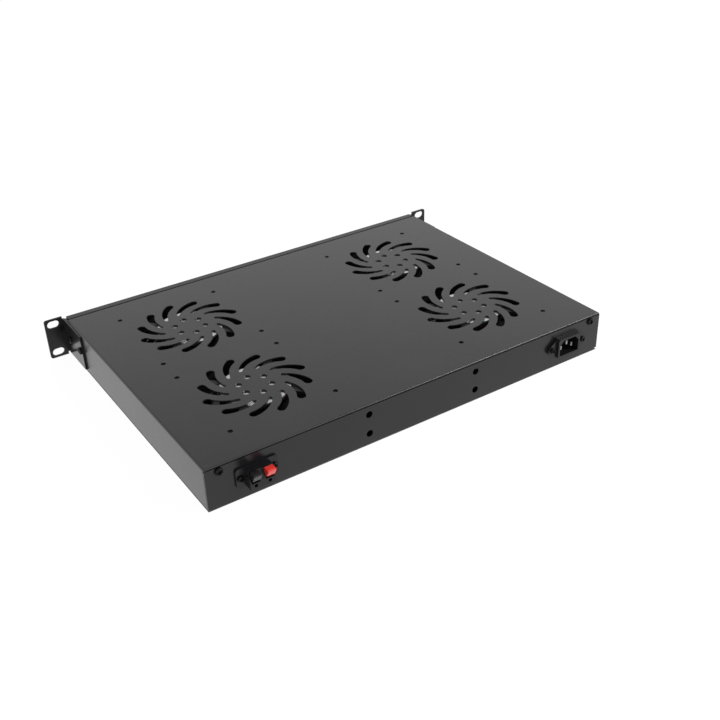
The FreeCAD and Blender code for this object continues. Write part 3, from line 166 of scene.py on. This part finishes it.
def powder_coat(name, dark, light, smoothest=0.20, **constant):
    coat = Finish(name, IOR=1.5, **constant)
    peel = coat.noise(0.0011, 3.0)
    grit = coat.noise(0.00035, 1.0)
    patch = coat.noise(0.06, 3.0)
    coat.set(
        Base_Color=coat.between(patch, dark, light),
        Roughness=smoothest + 0.07 * patch + 0.08 * grit,
        Normal=coat.bump(peel * 0.7 + grit * 0.3, 0.00006, 0.55),
    )
    return coat


powder_coat("cover_coat", (0.012, 0.012, 0.013), (0.020, 0.020, 0.021)).dress("top_cover")
# Painted shade: the pan and the ears carry the cover's black coat, painted darker and less glossy
# than the cover to stand in for the darker light on them.
powder_coat("pan_coat_shaded_copy", (0.005, 0.005, 0.006), (0.009, 0.009, 0.010),
            Specular_IOR_Level=0.38).dress("chassis_pan")
powder_coat("ear_coat_shaded_copy", (0.004, 0.004, 0.005), (0.008, 0.008, 0.009), 0.14,
            Specular_IOR_Level=0.30).dress("ear_bracket_left", "ear_bracket_right")

# ---- Case screws -----------------------------------------------------------------------------
# Pan-head screws of blackened steel that hold the ears, the rear corners and the bottom.
# The oxide is thin, so turning marks and a little bright metal show in it.


def turned_metal(name, colour, worn, roughness):
    metal = Finish(name, Metallic=1.0)
    lines = metal.noise(0.0004, 4.0)
    scuff = metal.noise(0.0022, 5.0)
    metal.set(
        Base_Color=metal.between(scuff ** 2, colour, worn),
        Roughness=roughness + 0.18 * lines,
        Normal=metal.bump(lines, 0.00002, 0.5),
    )
    return metal


turned_metal("black_oxide", (0.012, 0.012, 0.013), (0.040, 0.040, 0.042), 0.26).dress(
    "bracket_screws", "rear_corner_screws", "bottom_screws", "inlet_screws", "terminal_screws",
    "fan_screws")
turned_metal("zinc_plate", (0.42, 0.43, 0.45), (0.58, 0.58, 0.57), 0.24).dress("panel_nuts")

# ---- Fans ------------------------------------------------------------------------------------
# Four axial fans screwed under the vents: die-cast frames painted black, moulded rotors on
# ground shafts, a plain foil disc on each motor plate, and a plated wire guard below.

FANS = ("front_left", "front_right", "rear_left", "rear_right")


def fan_nodes(piece):
    return ["fan_" + piece + "_" + place for place in FANS]


cast = Finish("cast_paint", IOR=1.48, Specular_IOR_Level=0.3)
sand = cast.noise(0.0009, 4.0)
cast.set(Base_Color=cast.between(cast.noise(0.012, 3.0),
                                 (0.007, 0.007, 0.008), (0.014, 0.014, 0.015)),
         Roughness=0.42 + 0.2 * sand, Normal=cast.bump(sand, 0.0001, 0.8))
cast.dress(*fan_nodes("frame"), *fan_nodes("spider"))

moulded = Finish("rotor_plastic", IOR=1.5, Specular_IOR_Level=0.3)
grain = moulded.noise(0.0007, 2.0)
moulded.set(Base_Color=moulded.between(moulded.noise(0.02, 2.0),
                                       (0.006, 0.006, 0.007), (0.011, 0.011, 0.012)),
            Roughness=0.40 + 0.16 * grain, Normal=moulded.bump(grain, 0.00003, 0.6))
moulded.dress(*fan_nodes("rotor"))

foil = Finish("label_foil", Metallic=1.0)
crease = foil.noise(0.008, 4.0)
fibre = foil.noise(0.0006, 2.0)
foil.set(Base_Color=foil.between(crease, (0.50, 0.50, 0.51), (0.62, 0.62, 0.62)),
         Roughness=0.11 + 0.20 * fibre, Normal=foil.bump(crease, 0.00005, 0.3))
foil.dress("fan_labels")

turned_metal("ground_steel", (0.52, 0.52, 0.52), (0.60, 0.60, 0.60), 0.16).dress(
    *fan_nodes("shaft"), "terminal_pin")
turned_metal("bright_wire", (0.60, 0.60, 0.61), (0.72, 0.72, 0.72), 0.12).dress(
    *fan_nodes("guard"))
winding = Finish("winding", Metallic=0.8)
strand = winding.noise(0.0005, 2.0)
winding.set(Base_Color=winding.between(winding.noise(0.01), (0.30, 0.11, 0.05), (0.42, 0.17, 0.08)),
            Roughness=0.3 + 0.2 * strand, Normal=winding.bump(strand, 0.0002, 1.0))
winding.dress(*fan_nodes("stator"))
turned_metal("sintered_bronze", (0.35, 0.22, 0.10), (0.42, 0.28, 0.14), 0.4).dress(
    "fan_bearings")

# ---- Wiring ----------------------------------------------------------------------------------
# Vinyl-covered leads along the bottom plate, from the inlet, the terminal and the fans to the
# front panel, joined in a moulded connector strip of white polyamide.


def plastic(name, dark, light, roughness=0.32, grain_size=0.0008, depth=0.00003, **constant):
    resin = Finish(name, **{"IOR": 1.49, **constant})
    texture = resin.noise(grain_size, 2.0)
    resin.set(Base_Color=resin.between(resin.noise(0.009, 3.0), dark, light),
              Roughness=roughness + 0.14 * texture, Normal=resin.bump(texture, depth, 0.6))
    return resin


plastic("vinyl", (0.014, 0.014, 0.015), (0.024, 0.024, 0.025), 0.34).dress(
    "mains_leads", "probe_leads", "fan_leads")
plastic("polyamide", (0.70, 0.70, 0.67), (0.78, 0.78, 0.75), 0.4).dress("connector_strip")

# ---- Mains inlet -----------------------------------------------------------------------------
# Inlet moulded in glossy black plastic and screwed to the rear panel, with three nickel-plated
# pins pressed into its floor.

plastic("gloss_black", (0.006, 0.006, 0.007), (0.010, 0.010, 0.011), 0.20, 0.0014,
        Specular_IOR_Level=0.32).dress("inlet_body", "terminal_body", "switch_housing")
turned_metal("nickel", (0.30, 0.29, 0.27), (0.38, 0.37, 0.35), 0.26).dress(
    "inlet_pins", "terminal_contacts")

# ---- Spring terminal -------------------------------------------------------------------------
# Moulded block of the same black plastic, screwed to the rear panel, with one red and one
# black paddle on a steel pin, each pressed down to free a wire.

plastic("lever_red", (0.62, 0.022, 0.016), (0.74, 0.035, 0.024), 0.22).dress(
    "terminal_lever_red")
plastic("lever_black", (0.006, 0.006, 0.007), (0.010, 0.010, 0.011), 0.22,
        Specular_IOR_Level=0.32).dress("terminal_lever_black")

# ---- Power switch ----------------------------------------------------------------------------
# Snap-in rocker switch of glossy black plastic beside the left ear. The rocker lies over to
# its off end, and its white marks, a ring for off and a bar for on, are moulded in.

plastic("rocker_black", (0.012, 0.012, 0.013), (0.018, 0.018, 0.019), 0.18).dress("switch_rocker")

ROCKER_TILT = math.radians(8)
ROCKER_FACE = 0.0032        # middle of the face in front of the pivot
ROCKER_FALL = 0.128         # how steeply the face falls away from its middle
MARK_OUT = 0.0042           # marks from the middle of the rocker
MARK_RADIUS = 0.0016        # outside of the ring, and half the height of the bar
MARK_HOLE = 0.0011          # inside of the ring
MARK_STROKE = 0.0003        # half the width of the bar
RING_STEPS = 32
INLAY_DEPTH = 0.00006
MARK_PROUD = 0.00003
rocker_pivot = next(Vector(joint["pos_m"]) for joint in frame["joints"]
                    if joint["name"] == "power_rocker")


def flat_piece(name, loops, body, finish):
    """Thin inlay from outlines in the XZ plane, each a list of corners, given a depth."""
    mesh = bmesh.new()
    for loop in loops:
        face = mesh.faces.new([mesh.verts.new(corner) for corner in loop])
        face.normal_update()
    bmesh.ops.solidify(mesh, geom=mesh.faces[:], thickness=INLAY_DEPTH)
    bmesh.ops.recalc_face_normals(mesh, faces=mesh.faces[:])
    data = bpy.data.meshes.new(name)
    mesh.to_mesh(data)
    mesh.free()
    data.materials.append(finish.material)
    made = bpy.data.objects.new(name, data)
    bpy.context.scene.collection.objects.link(made)
    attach(made, body)


def on_rocker(along, up):
    """Point on the rocker's face, which falls away from its middle and lies over."""
    away = -ROCKER_FACE - abs(along) * ROCKER_FALL - MARK_PROUD
    x = along * math.cos(ROCKER_TILT) + away * math.sin(ROCKER_TILT)
    y = away * math.cos(ROCKER_TILT) - along * math.sin(ROCKER_TILT)
    return rocker_pivot + Vector((x, y, up))


def ring_loops(place, outer, inner):
    """Quads that make a flat ring, through a function from two coordinates to a point."""
    angles = [2 * math.pi * i / RING_STEPS for i in range(RING_STEPS + 1)]
    return [[place(r * math.cos(a), r * math.sin(a)) for a, r in
             ((first, inner), (first, outer), (second, outer), (second, inner))]
            for first, second in zip(angles, angles[1:])]


mark_white = plastic("mark_white", (0.72, 0.72, 0.70), (0.80, 0.80, 0.78), 0.4)
bar = [on_rocker(MARK_OUT + side * MARK_STROKE, end * MARK_RADIUS)
       for side, end in ((-1, -1), (1, -1), (1, 1), (-1, 1))]
flat_piece("rocker_mark_on", [bar], "rocker", mark_white)
flat_piece("rocker_mark_off",
           ring_loops(lambda u, w: on_rocker(u - MARK_OUT, w), MARK_RADIUS, MARK_HOLE),
           "rocker", mark_white)

# ---- Thermostat ------------------------------------------------------------------------------
# Panel module clipped into the middle of the front panel: a case and bezel of satin black
# plastic, a smoked window before the three-digit display, and three grey push buttons.

plastic("satin_black", (0.016, 0.016, 0.017), (0.024, 0.024, 0.025), 0.42, 0.0006,
        0.00006).dress("thermostat_case")
plastic("button_grey", (0.30, 0.30, 0.31), (0.36, 0.36, 0.37), 0.4).dress(
    "thermostat_button_set", "thermostat_button_up", "thermostat_button_down")
plastic("laminate", (0.02, 0.14, 0.05), (0.03, 0.20, 0.07), 0.3).dress("thermostat_board")
plastic("display_body", (0.03, 0.02, 0.02), (0.04, 0.03, 0.03), 0.3).dress("display_digits")
plastic("back_grey", (0.22, 0.22, 0.23), (0.27, 0.27, 0.28), 0.42).dress(
    "thermostat_back", "thermostat_clips")

SEGMENT_HALF = 0.0006
DIGIT_HALF_WIDTH = 0.0026
DIGIT_HALF_HEIGHT = 0.0050
DIGIT_PITCH = 0.010
DIGIT_SLANT = 0.10
display_low, display_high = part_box("display_digits")
display_middle = (display_low + display_high) / 2
display_face = display_low.y + 0.00002


def segment(start, end):
    """Six-sided bar with pointed ends between two points of a digit's grid."""
    start, end = Vector(start), Vector(end)
    along = (end - start).normalized()
    across = Vector((-along.y, along.x)) * SEGMENT_HALF
    tip = along * SEGMENT_HALF
    near, far = start + tip * 1.3, end - tip * 1.3
    return [near - tip, near + across, far + across, far + tip, far - across, near - across]


def digit_loops(centre_x):
    w, h = DIGIT_HALF_WIDTH, DIGIT_HALF_HEIGHT
    bars = [((-w, h), (w, h)), ((-w, 0), (w, 0)), ((-w, -h), (w, -h)),
            ((-w, 0), (-w, h)), ((w, 0), (w, h)), ((-w, -h), (-w, 0)), ((w, -h), (w, 0))]
    return [[Vector((centre_x + p.x + p.y * DIGIT_SLANT, display_face, display_middle.z + p.y))
             for p in segment(*bar)] for bar in bars]


segments = [loop for place in (-1, 0, 1)
            for loop in digit_loops(display_middle.x + place * DIGIT_PITCH)]
unlit = plastic("unlit_segment", (0.30, 0.16, 0.14), (0.36, 0.20, 0.18), 0.35)
flat_piece("display_segments", segments, "tray", unlit)

ARROW = 0.0013              # half the width of an arrow
SET_RING = (0.0012, 0.0008)  # outer and inner radius
for button, turn in (("up", 1), ("down", -1)):
    cap_low, cap_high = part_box("thermostat_button_" + button)
    centre = (cap_low + cap_high) / 2
    arrow = [Vector((centre.x + dx * ARROW, cap_low.y - MARK_PROUD, centre.z + dz * turn * ARROW))
             for dx, dz in ((-1, -0.7), (1, -0.7), (0, 0.9))]
    flat_piece("button_mark_" + button, [arrow], "button_" + button, mark_white)
cap_low, cap_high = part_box("thermostat_button_set")
centre = (cap_low + cap_high) / 2
flat_piece("button_mark_set", ring_loops(
    lambda u, w: Vector((centre.x + u, cap_low.y - MARK_PROUD, centre.z + w)), *SET_RING),
    "button_set", mark_white)

window = Finish("smoked_window", IOR=1.49, Transmission_Weight=0.85)
smear = window.noise(0.006, 3.0)
window.set(Base_Color=window.between(smear, (0.16, 0.05, 0.05), (0.20, 0.07, 0.07)),
           Roughness=0.04 + 0.05 * smear, Normal=window.bump(smear, 0.00001, 0.3))
window.dress("display_window")

# ---- Studio ----------------------------------------------------------------------------------
# Evenly glowing white table with a painted shadow only where the case stands on it, a surround
# that is brightest near the horizon, and one soft lamp high behind the rear corner with the inlet.

FLOOR_SIZE = 12.0
floor_z = cad_low.z
half = FLOOR_SIZE / 2
table = bpy.data.meshes.new("studio_floor")
table.from_pydata([(x * half, y * half, floor_z) for x, y in ((-1, -1), (1, -1), (1, 1), (-1, 1))],
                  [], [(0, 1, 2, 3)])
table_object = bpy.data.objects.new("studio_floor", table)
bpy.context.scene.collection.objects.link(table_object)
pan_low, pan_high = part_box("chassis_pan")
pan_middle = (pan_low + pan_high) / 2
pale = Finish("pale_table", Base_Color=(0.08, 0.08, 0.08, 1), Roughness=0.9,
              Specular_IOR_Level=0.0, Emission_Strength=0.955)
# Painted shadow: over the case's footprint the table's glow drops to near black, in place of the
# shade beneath the case.
painted_shadow_under_case = ((abs(pale.along("X") - pan_middle.x) < pan_high.x - pan_middle.x)
              * (abs(pale.along("Y") - pan_middle.y) < pan_high.y - pan_middle.y))
pale.set(Emission_Color=pale.between(painted_shadow_under_case, (1, 1, 1), (0.03, 0.03, 0.03)))
table.materials.append(pale.material)

world = bpy.data.worlds.new("surround")
world.use_nodes = True
sky = world.node_tree
heading = sky.nodes.new("ShaderNodeTexCoord")
split = sky.nodes.new("ShaderNodeSeparateXYZ")
fade = sky.nodes.new("ShaderNodeValToRGB")
SKY_STOPS = ((0.25, 0.90), (0.42, 0.84), (0.60, 0.46), (1.0, 0.38))
while len(fade.color_ramp.elements) < len(SKY_STOPS):
    fade.color_ramp.elements.new(0.5)
for element, (height, level) in zip(fade.color_ramp.elements, SKY_STOPS):
    element.position = height
    element.color = (level, level, level, 1)
sky.links.new(heading.outputs["Generated"], split.inputs[0])
sky.links.new(split.outputs["Z"], fade.inputs[0])
sky.links.new(fade.outputs["Color"], sky.nodes["Background"].inputs["Color"])
sky.nodes["Background"].inputs["Strength"].default_value = 1.2
bpy.context.scene.world = world

LAMP_PLACE = Vector((-1.6, 1.5, 1.6))
lamp = bpy.data.lights.new("soft_lamp", "AREA")
lamp.shape = "DISK"
lamp.size = 0.9
lamp.energy = 40.0
lamp_object = bpy.data.objects.new("soft_lamp", lamp)
lamp_object.location = LAMP_PLACE
lamp_object.rotation_mode = "QUATERNION"
lamp_object.rotation_quaternion = (-LAMP_PLACE).to_track_quat("-Z", "Y")
bpy.context.scene.collection.objects.link(lamp_object)

EYE = Vector((0.45603, 0.91468, 0.49843))
AIM = Vector((0.00535, 0.22168, -0.0006))
ROLL = 0.0328
camera = bpy.data.cameras.new("camera")
camera.sensor_width = 36.0
camera.lens = 49.567
camera_object = bpy.data.objects.new("camera", camera)
camera_object.location = EYE
camera_object.rotation_mode = "QUATERNION"
camera_object.rotation_quaternion = ((AIM - EYE).to_track_quat("-Z", "Y")
                                     @ Quaternion((0, 0, 1), -ROLL))
bpy.context.scene.collection.objects.link(camera_object)
bpy.context.scene.camera = camera_object
bpy.context.scene.view_settings.view_transform = "Standard"
